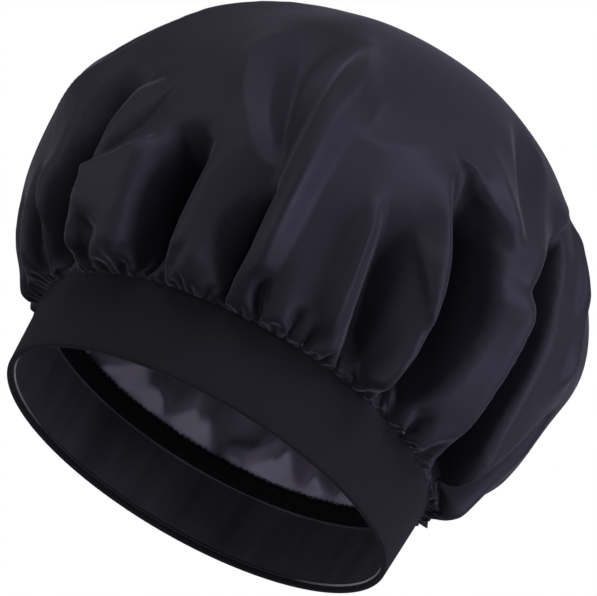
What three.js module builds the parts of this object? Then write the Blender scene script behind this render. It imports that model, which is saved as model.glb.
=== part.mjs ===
// Bouffant shower cap: a gathered, lined crown on a wide elasticated band.
// Millimetres, +Z up. The rim lies on z = 0, and the crown's fuller side is at +X.
import * as THREE from "three";

// Opening and band
const RIM_HALF_LENGTH = 97; // half of the opening's long axis, along X
const RIM_HALF_WIDTH = 74; // half of its short axis, along Y
const BAND_FLARE = 3.2; // the band leans outwards by this much over its height
const BAND_HEIGHT = 39;
const RIM_ROUNDING = 0.8;
const RIM_LIP_HEIGHT = 2.2; // the outer fabric turns up this far inside the rim

// Layers of the band, from outside to inside
const BAND_FABRIC = 0.6;
const ELASTIC_THICKNESS = 0.9;
const ELASTIC_HEIGHT = 35;
const ELASTIC_GAP = 2.6; // between its two ends, which a zigzag stitch joins
const FACING_FABRIC = 0.6;
const FACING_EDGE_RADIUS = 0.6; // of the turned edges along its top and its bottom
const CLEARANCE = 0.3; // between layers that touch

// Crown
const CROWN_HALF_LENGTH = 134;
const CROWN_HALF_WIDTH = 112;
const CROWN_HEIGHT = 233; // rim to top
const WIDEST_HEIGHT = 118; // rim to the crown's widest level
const WIDEST_SHIFT_X = -2; // the middle of that level, from the middle of the opening
const WIDEST_SHIFT_Y = -12;
const TOP_SHIFT_X = -5;
const CROWN_FABRIC = 0.6;
const LINING_FABRIC = 0.6;

// The crown's side view: below and above the widest level it follows the powers of a sine and a
// cosine, 1 for a plain quarter ellipse and more for a straighter run
const LOWER_POWER_LEFT = 0.95;
const LOWER_POWER_RIGHT = 1.3;
const UPPER_POWER = 0.93;
const WIDEST_PATH_SHARE = 0.36; // of the way from the gather line to the top

// Gathers along the band
const PLEAT_DEPTH = 4; // valley to ridge, where they are deepest
const PLEAT_PEAK_SHARE = 0.07; // of the way to the top, where that is

// Seam between crown and band: the raw edges stand up inside, above the gather line
const SEAM_HEIGHT = 9;
const SEAM_THICKNESS = 1;
const SEAM_LEAN = 2.6; // its top edge leans inwards
const SEAM_RUFFLE = 0.5;
const SEAM_RUFFLES = 60;

// Threads
const THREAD_RADIUS = 0.25;
const OVERLOCK_PITCH = 6; // one loop of the stitch over the seam's top edge
const OVERLOCK_BITE = 3.2; // how far its loops reach down from the edge
const GATHER_PITCH = 8;
const GATHER_ROW_HEIGHT = 2.4; // of the gathering stitch above the gather line
const GATHER_RIPPLE = 0.15;
const JOIN_PITCH = 2.6; // zigzag that joins the ends of the elastic

// Facets
const RING_SEGMENTS = 64;
const THREAD_SIDES = 4;
const CORNER_STEPS = 2;

// Rings of vertices up the crown, as shares of the way from the gather line to the top
const RING_SHARES = [0, 0.03, 0.08, 0.15, 0.23, 0.32, 0.42, 0.54, 0.68, 0.84];

// Sizes of fold: the half width, and how far it sinks
const DEEP = { width: 10, depth: 23 };
const BROAD = { width: 11, depth: 19 };
const SOFT = { width: 14, depth: 11 };
const NARROW = { width: 7, depth: 12 };
const SWELL = { width: 10, depth: -5 }; // stands proud instead

// Folds that rise from the gathers, in order round the band. Each runs through three places,
// [degrees round the crown from +X, share of the way to the top].
const GATHER_SHARES = [
  { size: NARROW, at: [[-179, 0], [-178, 0.1], [-178, 0.24]] },
  { size: NARROW, at: [[-169, 0], [-166, 0.1], [-167, 0.26]] },
  { size: DEEP, at: [[-159, 0], [-153, 0.17], [-147, 0.42]] },
  { size: DEEP, at: [[-127, 0], [-127.5, 0.13], [-123, 0.31]] },
  { size: NARROW, at: [[-105, 0], [-106.5, 0.11], [-103.5, 0.25]] },
  { size: BROAD, at: [[-76, 0], [-77, 0.15], [-82.5, 0.32]] },
  { size: DEEP, at: [[-58, 0], [-60.5, 0.2], [-76, 0.44]] },
  { size: DEEP, at: [[-20, 0], [-38.5, 0.19], [-46, 0.5]] },
  { size: NARROW, at: [[-8, 0], [-13, 0.15], [-8, 0.32]] },
  { size: BROAD, at: [[14, 0], [19, 0.2], [13, 0.42]] },
  { size: NARROW, at: [[40, 0], [40, 0.14], [45, 0.36]] },
  { size: BROAD, at: [[66, 0], [69, 0.2], [64, 0.5]] },
  { size: NARROW, at: [[93, 0], [95, 0.12], [99, 0.32]] },
  { size: BROAD, at: [[120, 0], [118, 0.2], [124, 0.48]] },
  { size: BROAD, at: [[150, 0], [151, 0.2], [158, 0.42]] },
];

// Folds that start above the band, in the same form
const CREASE_SHARES = [
  { size: SOFT, at: [[-180, 0.42], [-156, 0.57], [-126, 0.8]] },
  { size: SOFT, at: [[-104, 0.27], [-110, 0.42], [-113, 0.64]] },
  { size: SWELL, at: [[-30, 0.05], [-44, 0.22], [-56, 0.38]] },
  { size: SOFT, at: [[32, 0.5], [52, 0.64], [88, 0.7]] },
  { size: SOFT, at: [[120, 0.56], [142, 0.66], [172, 0.62]] },
];

// Sizes of bulge: how far it reaches from its middle, and how far it stands proud
const CORNER = { reach: 26, height: 5.5 };
const BROAD_BULGE = { reach: 34, height: 3.5 };

// Bulges between the folds, at [degrees, share]
const BULGE_SHARES = [
  { size: CORNER, at: [-171, 0.4] },
  { size: CORNER, at: [2, 0.2] },
  { size: BROAD_BULGE, at: [179, 0.25] },
  { size: BROAD_BULGE, at: [-144, 0.62] },
  { size: BROAD_BULGE, at: [-112, 0.71] },
  { size: BROAD_BULGE, at: [-68, 0.71] },
  { size: BROAD_BULGE, at: [-38, 0.6] },
  { size: BROAD_BULGE, at: [-18, 0.47] },
];
const SHOULDER_GAP_SHARE = 0.36; // of the way to the next fold, at most, that a fold's side takes
const COLUMN_FOLLOW_SHARE = 0.12; // where columns of vertices come to follow the folds
const COLUMN_TOP_SHARE = 0.42; // where they stop
const FOLD_STEPS = 10;
const COLUMN_HALVINGS = 20; // that find where a fold crosses a ring
const SLOPE_STEP_SHARE = 0.004; // of a radian and of the way up, over which slopes are taken
const FOLD_END_SHARE = 0.3; // of a fold's run, over which an end fades out
const FOLD_ROOT_SHARE = 0.15; // of the way to the top, over which folds grow from the band
const SHOULDER_SHARE = 1.2; // how strongly the cloth beside a fold stands proud

const WALL = BAND_FABRIC + ELASTIC_THICKNESS + FACING_FABRIC + 2 * CLEARANCE;
const GATHER_LINE = BAND_HEIGHT + CLEARANCE;
const LINING_INSET = CROWN_FABRIC + CLEARANCE;
const SEAM_INSET = LINING_INSET + LINING_FABRIC + CLEARANCE;
const THREAD_SEAT = CLEARANCE + THREAD_RADIUS; // from a surface to a thread's middle on it
const TURN = 2 * Math.PI;
const radians = THREE.MathUtils.degToRad;
const UP = new THREE.Vector3(0, 0, 1);

// The band's outside oval at a height
function oval(height) {
  const lean = (BAND_FLARE * height) / BAND_HEIGHT;
  return { halfLength: RIM_HALF_LENGTH + lean, halfWidth: RIM_HALF_WIDTH + lean };
}

// Level direction square to that oval, pointing out
function ovalNormal(angle, height) {
  const { halfLength, halfWidth } = oval(height);
  const normal = new THREE.Vector3();
  normal.set(halfWidth * Math.cos(angle), halfLength * Math.sin(angle), 0);
  return normal.normalize();
}

// A point of the oval, moved square to it towards the inside by inset
function ovalPoint(angle, inset, height) {
  const { halfLength, halfWidth } = oval(height);
  const point = new THREE.Vector3();
  point.set(halfLength * Math.cos(angle), halfWidth * Math.sin(angle), height);
  return point.addScaledVector(ovalNormal(angle, height), -inset);
}

function meshGeometry(points, triangles) {
  const geometry = new THREE.BufferGeometry();
  const numbers = points.flatMap((point) => point.toArray());
  geometry.setAttribute("position", new THREE.Float32BufferAttribute(numbers, 3));
  geometry.setIndex(triangles);
  geometry.computeVertexNormals();
  return geometry;
}

// Joins rows of points into a skin. Each row is a closed loop, and the last row meets the first
// when closed, or else each end is filled with a fan.
function skin(rows, closed) {
  const count = rows[0].length;
  const triangles = [];
  const last = closed ? rows.length : rows.length - 1;
  for (let i = 0; i < last; i++) {
    const near = i * count;
    const far = ((i + 1) % rows.length) * count;
    for (let j = 0; j < count; j++) {
      const next = (j + 1) % count;
      triangles.push(near + j, far + next, far + j, near + j, near + next, far + next);
    }
  }
  if (!closed) {
    const end = (rows.length - 1) * count;
    for (let j = 1; j + 1 < count; j++) {
      triangles.push(0, j + 1, j, end, end + j, end + j + 1);
    }
  }
  return meshGeometry(rows.flat(), triangles);
}

// Sweeps a section round the oval. A section gives corners [inset, height] for an angle.
function sweptRing(section, segments) {
  const rows = [];
  for (let i = 0; i < segments; i++) {
    const angle = (TURN * i) / segments;
    rows.push(section(angle).map(([inset, height]) => ovalPoint(angle, inset, height)));
  }
  return skin(rows, true);
}

// Corners along an arc of a section. A bearing of 0 points to the inside, and 90 up.
function arc(inset, height, radius, from, to, steps) {
  const corners = [];
  for (let i = 0; i <= steps; i++) {
    const bearing = radians(from + ((to - from) * i) / steps);
    corners.push([inset + radius * Math.cos(bearing), height + radius * Math.sin(bearing)]);
  }
  return corners;
}

// Outer fabric of the band: up the outside, rolled under the rim and turned up inside it
function bandShell() {
  const lipInset = WALL - BAND_FABRIC;
  const section = [
    [0, BAND_HEIGHT],
    ...arc(RIM_ROUNDING, RIM_ROUNDING, RIM_ROUNDING, 180, 270, CORNER_STEPS),
    ...arc(WALL - RIM_ROUNDING, RIM_ROUNDING, RIM_ROUNDING, 270, 360, CORNER_STEPS),
    [WALL, RIM_LIP_HEIGHT],
    [lipInset, RIM_LIP_HEIGHT],
    [lipInset, BAND_FABRIC],
    [BAND_FABRIC, BAND_FABRIC],
    [BAND_FABRIC, BAND_HEIGHT],
  ];
  return sweptRing(() => section, RING_SEGMENTS);
}

// Inner face of the band, with a rounded, turned edge along its bottom and its top
function bandFacing() {
  const edgeInset = WALL - FACING_FABRIC + FACING_EDGE_RADIUS;
  const bottom = RIM_LIP_HEIGHT + CLEARANCE + FACING_EDGE_RADIUS;
  const top = BAND_HEIGHT - FACING_EDGE_RADIUS;
  const meeting = THREE.MathUtils.radToDeg(Math.acos((WALL - edgeInset) / FACING_EDGE_RADIUS));
  const steps = 3 * CORNER_STEPS;
  const section = [
    ...arc(edgeInset, bottom, FACING_EDGE_RADIUS, 180, 360 + meeting, steps),
    ...arc(edgeInset, top, FACING_EDGE_RADIUS, -meeting, 180, steps),
  ];
  return sweptRing(() => section, RING_SEGMENTS);
}

// The elastic's place inside the band
const ELASTIC_INSET = BAND_FABRIC + CLEARANCE;
const ELASTIC_BOTTOM = BAND_FABRIC + CLEARANCE;
const ELASTIC_TURN = ELASTIC_GAP / (RIM_HALF_LENGTH + BAND_FLARE); // its gap, as an angle at +X

// Elastic strip, open at +X
function bandElastic() {
  const inside = ELASTIC_INSET + ELASTIC_THICKNESS;
  const top = ELASTIC_BOTTOM + ELASTIC_HEIGHT;
  const section = [
    [ELASTIC_INSET, ELASTIC_BOTTOM],
    [inside, ELASTIC_BOTTOM],
    [inside, top],
    [ELASTIC_INSET, top],
  ];
  const rows = [];
  for (let i = 0; i <= RING_SEGMENTS; i++) {
    const angle = Math.PI - (TURN - ELASTIC_TURN) * (0.5 - i / RING_SEGMENTS);
    rows.push(section.map(([inset, height]) => ovalPoint(angle, inset, height)));
  }
  return skin(rows, false);
}

// Tube of thread through points, closed into a loop or with flat ends
function threadTube(points, closed) {
  const count = points.length;
  const rows = points.map((point, i) => {
    const before = points[closed ? (i + count - 1) % count : Math.max(i - 1, 0)];
    const after = points[closed ? (i + 1) % count : Math.min(i + 1, count - 1)];
    const along = after.clone().sub(before).normalize();
    const outward = point.clone().setZ(0).normalize();
    const across = along.clone().cross(outward).normalize();
    const proud = across.clone().cross(along);
    const loop = [];
    for (let j = 0; j < THREAD_SIDES; j++) {
      const bearing = (TURN * (j + 0.5)) / THREAD_SIDES;
      const corner = point.clone();
      corner.addScaledVector(across, THREAD_RADIUS * Math.cos(bearing));
      corner.addScaledVector(proud, -THREAD_RADIUS * Math.sin(bearing));
      loop.push(corner);
    }
    return loop;
  });
  return skin(rows, closed);
}

// Zigzag that joins the two ends of the elastic
function elasticJoin() {
  const reach = ELASTIC_TURN / 2 - (THREAD_SEAT * ELASTIC_TURN) / ELASTIC_GAP;
  const inset = ELASTIC_INSET + ELASTIC_THICKNESS / 2;
  const strokes = Math.max(2, Math.round(ELASTIC_HEIGHT / JOIN_PITCH));
  const points = [];
  for (let i = 0; i <= strokes; i++) {
    const angle = i % 2 ? reach : -reach;
    points.push(ovalPoint(angle, inset, ELASTIC_BOTTOM + (ELASTIC_HEIGHT * i) / strokes));
  }
  return threadTube(points, false);
}

// The seam's leaning inset at a height above the gather line, with its ruffles
function seamInset(angle, rise) {
  const share = rise / SEAM_HEIGHT;
  const ruffle = SEAM_RUFFLE * share * Math.cos(SEAM_RUFFLES * angle);
  return SEAM_INSET + SEAM_LEAN * share + ruffle + SEAM_RUFFLE * share;
}

// Raw edges of crown, lining and band, stitched together and standing up inside
function seamAllowance() {
  const section = (angle) => {
    const foot = seamInset(angle, 0);
    const head = seamInset(angle, SEAM_HEIGHT);
    return [
      [foot, GATHER_LINE],
      [foot + SEAM_THICKNESS, GATHER_LINE],
      [head + SEAM_THICKNESS, GATHER_LINE + SEAM_HEIGHT],
      [head, GATHER_LINE + SEAM_HEIGHT],
    ];
  };
  return sweptRing(section, 2 * SEAM_RUFFLES);
}

// Angles of evenly pitched stitches round the seam
function stitchAngles(pitch) {
  const { halfLength, halfWidth } = oval(GATHER_LINE);
  const girth = Math.PI * (halfLength + halfWidth);
  const count = Math.max(3, Math.round(girth / pitch));
  return Array.from({ length: count }, (_, i) => (TURN * i) / count);
}

// The inset that clears the seam's inner face at any ruffle
function seamFace(rise) {
  return seamInset(0, rise) + SEAM_THICKNESS + THREAD_SEAT;
}

// Overlock thread: up the seam's inner face, over its top edge and down again
function overlockThread() {
  const low = SEAM_HEIGHT - OVERLOCK_BITE;
  const head = GATHER_LINE + SEAM_HEIGHT;
  const angles = stitchAngles(OVERLOCK_PITCH);
  const quarter = TURN / (4 * angles.length);
  const points = angles.flatMap((angle) => [
    ovalPoint(angle, seamFace(low), GATHER_LINE + low),
    ovalPoint(angle + quarter, seamFace(SEAM_HEIGHT), head),
    ovalPoint(angle + 2 * quarter, seamInset(0, SEAM_HEIGHT), head + THREAD_SEAT),
    ovalPoint(angle + 3 * quarter, seamFace(SEAM_HEIGHT), head),
  ]);
  return threadTube(points, true);
}

// Gathering thread: a running stitch along the seam's inner face
function gatherThread() {
  const angles = stitchAngles(GATHER_PITCH);
  const half = TURN / (2 * angles.length);
  const inset = seamFace(GATHER_ROW_HEIGHT);
  const height = GATHER_LINE + GATHER_ROW_HEIGHT;
  const points = angles.flatMap((angle) => [
    ovalPoint(angle, inset, height),
    ovalPoint(angle + half, inset + GATHER_RIPPLE, height),
  ]);
  return threadTube(points, true);
}

// The crown without folds: an oval that widens from the band and closes over the top.
// share runs from 0 at the gather line to 1 at the top.
function crownForm(angle, share) {
  const { halfLength, halfWidth } = oval(BAND_HEIGHT);
  const rightness = (1 + Math.cos(angle)) / 2;
  const lowerPower = LOWER_POWER_LEFT + (LOWER_POWER_RIGHT - LOWER_POWER_LEFT) * rightness;
  if (share < WIDEST_PATH_SHARE) {
    const quarter = (Math.PI / 2) * (share / WIDEST_PATH_SHARE);
    const out = Math.sin(quarter) ** lowerPower;
    const rise = 1 - Math.cos(quarter) ** lowerPower;
    const length = halfLength + (CROWN_HALF_LENGTH - halfLength) * out;
    const width = halfWidth + (CROWN_HALF_WIDTH - halfWidth) * out;
    return new THREE.Vector3(
      length * Math.cos(angle) + WIDEST_SHIFT_X * out,
      width * Math.sin(angle) + WIDEST_SHIFT_Y * out,
      GATHER_LINE + (WIDEST_HEIGHT - GATHER_LINE) * rise,
    );
  }
  const quarter = (Math.PI / 2) * ((share - WIDEST_PATH_SHARE) / (1 - WIDEST_PATH_SHARE));
  const inward = Math.max(Math.cos(quarter), 0) ** UPPER_POWER;
  const rise = Math.sin(quarter) ** UPPER_POWER;
  return new THREE.Vector3(
    CROWN_HALF_LENGTH * inward * Math.cos(angle) + WIDEST_SHIFT_X * (1 - rise) + TOP_SHIFT_X * rise,
    CROWN_HALF_WIDTH * inward * Math.sin(angle) + WIDEST_SHIFT_Y * (1 - rise),
    WIDEST_HEIGHT + (CROWN_HEIGHT - WIDEST_HEIGHT) * rise,
  );
}

// Direction out of that form, level at the gather line
function crownNormal(angle, share) {
  const level = ovalNormal(angle, BAND_HEIGHT);
  if (share === 0) return level;
  if (share === 1) return UP.clone();
  const step = SLOPE_STEP_SHARE;
  const round = crownForm(angle + step, share).sub(crownForm(angle - step, share));
  const up = crownForm(angle, share + step).sub(crownForm(angle, Math.max(share - step, 0)));
  const square = round.cross(up).normalize();
  const turned = THREE.MathUtils.smoothstep(share, 0, RING_SHARES[2]);
  return level.multiplyScalar(1 - turned).addScaledVector(square, turned).normalize();
}

// A place of a fold, [degrees, share], at t from 0 at its start to 1 at its end
function foldPlace([from, through, to], t) {
  const weights = [(1 - t) * (1 - 2 * t), 4 * t * (1 - t), t * (2 * t - 1)];
  return [0, 1].map((k) => weights[0] * from[k] + weights[1] * through[k] + weights[2] * to[k]);
}

const FOLDS = [...GATHER_SHARES, ...CREASE_SHARES].map(({ size, at }) => {
  const run = [];
  for (let i = 0; i <= FOLD_STEPS; i++) {
    const [angle, share] = foldPlace(at, i / FOLD_STEPS);
    run.push(crownForm(radians(angle), share));
  }
  return { ...size, run, rooted: at[0][1] === 0 };
});

const BULGES = BULGE_SHARES.map(({ size, at }) => {
  const [angle, share] = at;
  return { ...size, middle: crownForm(radians(angle), share) };
});

// How far the folds and bulges sink the crown at a point of the form
function foldSink(point, share) {
  let sink = 0;
  for (const bulge of BULGES) {
    const away = bulge.middle.distanceTo(point) / bulge.reach;
    sink -= bulge.height * Math.exp(-(away ** 2));
  }
  for (const fold of FOLDS) {
    let best = Infinity;
    let place = 0;
    for (let i = 0; i < FOLD_STEPS; i++) {
      const line = new THREE.Line3(fold.run[i], fold.run[i + 1]);
      const t = line.closestPointToPointParameter(point, true);
      const distance = line.at(t, new THREE.Vector3()).distanceTo(point);
      if (distance < best) {
        best = distance;
        place = (i + t) / FOLD_STEPS;
      }
    }
    const start = fold.rooted ? 1 : THREE.MathUtils.smoothstep(place, 0, FOLD_END_SHARE);
    const end = THREE.MathUtils.smoothstep(1 - place, 0, FOLD_END_SHARE);
    const across = (best / fold.width) ** 2;
    sink += fold.depth * start * end * (1 - SHOULDER_SHARE * across) * Math.exp(-across);
  }
  return sink * THREE.MathUtils.smoothstep(share, 0, FOLD_ROOT_SHARE) ** 2;
}

// Where each gather's fold crosses a ring. Above its end a fold's place spreads evenly between
// the neighbours that still run.
function foldAngles(share) {
  const count = GATHER_SHARES.length;
  const valleys = GATHER_SHARES.map(({ at }) => {
    if (share > at[2][1]) return null;
    let low = 0;
    let high = 1;
    for (let i = 0; i < COLUMN_HALVINGS; i++) {
      const t = (low + high) / 2;
      if (foldPlace(at, t)[1] < share) low = t;
      else high = t;
    }
    return foldPlace(at, low)[0];
  });
  const running = valleys.flatMap((angle, i) => (angle === null ? [] : [i]));
  return valleys.map((angle, i) => {
    if (angle !== null) return angle;
    const beforeIndex = running.filter((k) => k < i).pop() ?? running.at(-1) - count;
    const afterIndex = running.find((k) => k > i) ?? running[0] + count;
    const angleAt = (k) => valleys[(k + count) % count] + 360 * Math.floor(k / count);
    const t = (i - beforeIndex) / (afterIndex - beforeIndex);
    return angleAt(beforeIndex) * (1 - t) + angleAt(afterIndex) * t;
  });
}

// Columns of vertices: four to a gather, along its valley, its two shoulders and the middle of
// the cloth up to the next one. They are evenly spaced at the gather line, and above
// COLUMN_TOP_SHARE they go straight on to the top.
function columnAngles(ringShare) {
  const folds = foldAngles(Math.min(ringShare, COLUMN_TOP_SHARE));
  const radius = (CROWN_HALF_LENGTH + CROWN_HALF_WIDTH) / 2;
  const following = folds.flatMap((angle, i) => {
    const after = (i + 1) % folds.length;
    const gap = folds[after] - angle + (after === 0 ? 360 : 0);
    const [near, far] = [i, after].map((k) => {
      const side = THREE.MathUtils.radToDeg(GATHER_SHARES[k].size.width / radius);
      return Math.min(side, SHOULDER_GAP_SHARE * gap);
    });
    return [0, near, (near + gap - far) / 2, gap - far].map((away) => angle + away);
  });
  const pitch = 360 / following.length;
  const total = following.reduce((sum, angle, j) => sum + angle - pitch * j, 0);
  const first = total / following.length;
  const follow = THREE.MathUtils.smoothstep(ringShare, 0, COLUMN_FOLLOW_SHARE);
  return following.map((angle, j) =>
    radians(THREE.MathUtils.lerp(first + pitch * j, angle, follow)),
  );
}

// How far a valley of the gathers sinks, or a ridge of them stands proud
function pleatSink(share, ridge) {
  const way = share / PLEAT_PEAK_SHARE;
  return (ridge ? -1 : 1) * (PLEAT_DEPTH / 2) * way ** 2 * Math.exp(2 - 2 * way);
}

function crownPoint(angle, share, sink) {
  return crownForm(angle, share).addScaledVector(crownNormal(angle, share), -sink);
}

// Places on the crown ring by ring, each with its sink below the form
const CROWN_RINGS = RING_SHARES.map((share) =>
  columnAngles(share).map((angle, j) => {
    const sink = foldSink(crownForm(angle, share), share) + pleatSink(share, j % 2 === 1);
    return { angle, share, sink };
  }),
);

// One fabric layer of the crown, from an inset inwards
function crownLayer(inset, fabric) {
  const points = [];
  for (const depth of [inset, inset + fabric]) {
    for (const place of CROWN_RINGS.flat()) {
      points.push(crownPoint(place.angle, place.share, place.sink + depth));
    }
    points.push(crownPoint(0, 1, depth));
  }
  const rings = CROWN_RINGS.length;
  const count = CROWN_RINGS[0].length;
  const side = rings * count + 1;
  const triangles = [];
  for (let j = 0; j < count; j++) {
    const next = (j + 1) % count;
    for (let i = 0; i + 1 < rings; i++) {
      const near = i * count;
      const far = near + count;
      triangles.push(near + j, near + next, far + next, near + j, far + next, far + j);
      const under = side + near;
      const over = side + far;
      triangles.push(under + j, over + next, under + next, under + j, over + j, over + next);
    }
    const last = (rings - 1) * count;
    triangles.push(last + j, last + next, side - 1);
    triangles.push(side + last + next, side + last + j, 2 * side - 1);
    triangles.push(j, side + next, next, j, side + j, side + next);
  }
  return meshGeometry(points, triangles);
}

// Looks
const SATIN_BLACK = { color: 0x3a3844, roughness: 0.38, metalness: 0 };
const LINING_SATIN = { color: 0x4a4656, roughness: 0.3, metalness: 0 };
const BAND_KNIT = { color: 0x26252b, roughness: 0.85, metalness: 0 };
const FACING_SATIN = { color: 0x1b1c22, roughness: 0.5, metalness: 0 };
const ELASTIC_WEBBING = { color: 0x1a1a1c, roughness: 0.9, metalness: 0 };
const RAW_EDGE = { color: 0x101013, roughness: 0.95, metalness: 0 };
const THREAD = { color: 0x2c2c32, roughness: 0.6, metalness: 0 };

const group = new THREE.Group();

function add(name, geometry, look) {
  const mesh = new THREE.Mesh(geometry, new THREE.MeshStandardMaterial(look));
  mesh.name = name;
  group.add(mesh);
  return mesh;
}

const crown = add("outer_crown", crownLayer(0, CROWN_FABRIC), SATIN_BLACK);
add("crown_lining", crownLayer(LINING_INSET, LINING_FABRIC), LINING_SATIN);
add("band_shell", bandShell(), BAND_KNIT);
add("band_facing", bandFacing(), FACING_SATIN);
add("band_elastic", bandElastic(), ELASTIC_WEBBING);
add("elastic_join_thread", elasticJoin(), THREAD);
add("seam_allowance", seamAllowance(), RAW_EDGE);
add("overlock_thread", overlockThread(), THREAD);
add("gather_thread", gatherThread(), THREAD);

// The origin is under the middle of the cap's outline
const middle = new THREE.Box3().setFromObject(crown).getCenter(new THREE.Vector3());
for (const mesh of group.children) mesh.geometry.translate(-middle.x, -middle.y, 0);

export default group;
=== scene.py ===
"""A bouffant shower cap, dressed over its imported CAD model. Metres, +Z up, the rim on z = 0."""

import math

import bpy
import numpy as np
from mathutils import Matrix, Vector


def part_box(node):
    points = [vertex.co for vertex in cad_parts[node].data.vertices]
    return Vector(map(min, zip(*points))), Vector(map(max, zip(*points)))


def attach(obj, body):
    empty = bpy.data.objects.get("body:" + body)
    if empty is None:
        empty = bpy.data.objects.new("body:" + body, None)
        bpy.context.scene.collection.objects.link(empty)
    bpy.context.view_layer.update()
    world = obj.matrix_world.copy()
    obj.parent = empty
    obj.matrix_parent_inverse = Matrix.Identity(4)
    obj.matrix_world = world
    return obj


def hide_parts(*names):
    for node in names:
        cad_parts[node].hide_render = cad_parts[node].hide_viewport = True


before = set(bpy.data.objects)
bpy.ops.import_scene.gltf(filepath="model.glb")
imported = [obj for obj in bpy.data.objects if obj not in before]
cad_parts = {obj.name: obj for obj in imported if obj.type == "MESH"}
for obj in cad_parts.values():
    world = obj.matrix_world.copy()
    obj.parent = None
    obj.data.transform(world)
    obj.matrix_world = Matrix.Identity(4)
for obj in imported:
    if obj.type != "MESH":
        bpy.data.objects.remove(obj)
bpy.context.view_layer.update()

ROOT = "root"
TURN = 2 * math.pi
TINY = 1e-12

# Opening and band, the sizes of the CAD model
BAND_LOW, BAND_HIGH = (np.array(corner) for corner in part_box("band_shell"))
MIDDLE = (BAND_LOW + BAND_HIGH) / 2
BAND_FLARE = 0.0032
BAND_HEIGHT = float(BAND_HIGH[2])
RIM_HALF_LENGTH = float(BAND_HIGH[0] - BAND_LOW[0]) / 2 - BAND_FLARE
RIM_HALF_WIDTH = float(BAND_HIGH[1] - BAND_LOW[1]) / 2 - BAND_FLARE
RIM_RADIUS = (RIM_HALF_LENGTH + RIM_HALF_WIDTH) / 2
CLEARANCE = 0.0003
BAND_FABRIC = 0.0006
ELASTIC_THICKNESS = 0.0009
ELASTIC_HEIGHT = 0.035
FACING_FABRIC = 0.0006
WALL = BAND_FABRIC + ELASTIC_THICKNESS + FACING_FABRIC + 2 * CLEARANCE
RIM_LIP_HEIGHT = 0.0022
RIM_ROUNDING = 0.0008
FACING_EDGE_RADIUS = 0.0006
GATHER_LINE = BAND_HEIGHT + CLEARANCE
ELASTIC_GAP = 0.0026
ELASTIC_INSET = BAND_FABRIC + CLEARANCE  # from the band's outside and from its rim
GAP_TURN = ELASTIC_GAP / (RIM_HALF_LENGTH + BAND_FLARE)
SEAM_HEIGHT = 0.009
SEAM_THICKNESS = 0.001
SEAM_LEAN = 0.0026
SEAM_RUFFLE = 0.0005
THREAD_RADIUS = 0.00025
THREAD_SEAT = CLEARANCE + THREAD_RADIUS
OVERLOCK_PITCH = 0.003
OVERLOCK_BITE = 0.0032
GATHER_PITCH = 0.004
GATHER_ROW_HEIGHT = 0.0024
GATHER_RIPPLE = 0.00015
JOIN_PITCH = 0.0026

# Crown
CROWN_FABRIC = 0.0006
LINING_FABRIC = 0.0006
LINING_INSET = CROWN_FABRIC + CLEARANCE
SEAM_TUCK = 0.0014  # how far the crown's edge turns in over the band
LINING_LIFT = 0.0012  # the lining's edge above it
SEAM_INSET = LINING_INSET + LINING_FABRIC + CLEARANCE
CROWN_HALF_LENGTH = 0.134
CROWN_HALF_WIDTH = 0.112
CROWN_HEIGHT = 0.233
WIDEST_HEIGHT = 0.118
WIDEST_SHIFT_X = -0.002
WIDEST_SHIFT_Y = -0.012
TOP_SHIFT_X = -0.005
LOWER_POWER_LEFT = 0.95
LOWER_POWER_RIGHT = 1.3
UPPER_POWER = 0.93
WIDEST_PATH_SHARE = 0.36

def curves(sizes, rows):
    """Table rows with their three places apart, and so many sizes after them in metres."""
    end = 6 + sizes
    return [((row[:2], row[2:4], row[4:6]), *(size / 1000 for size in row[6:end]), *row[end:])
            for row in rows]


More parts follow.
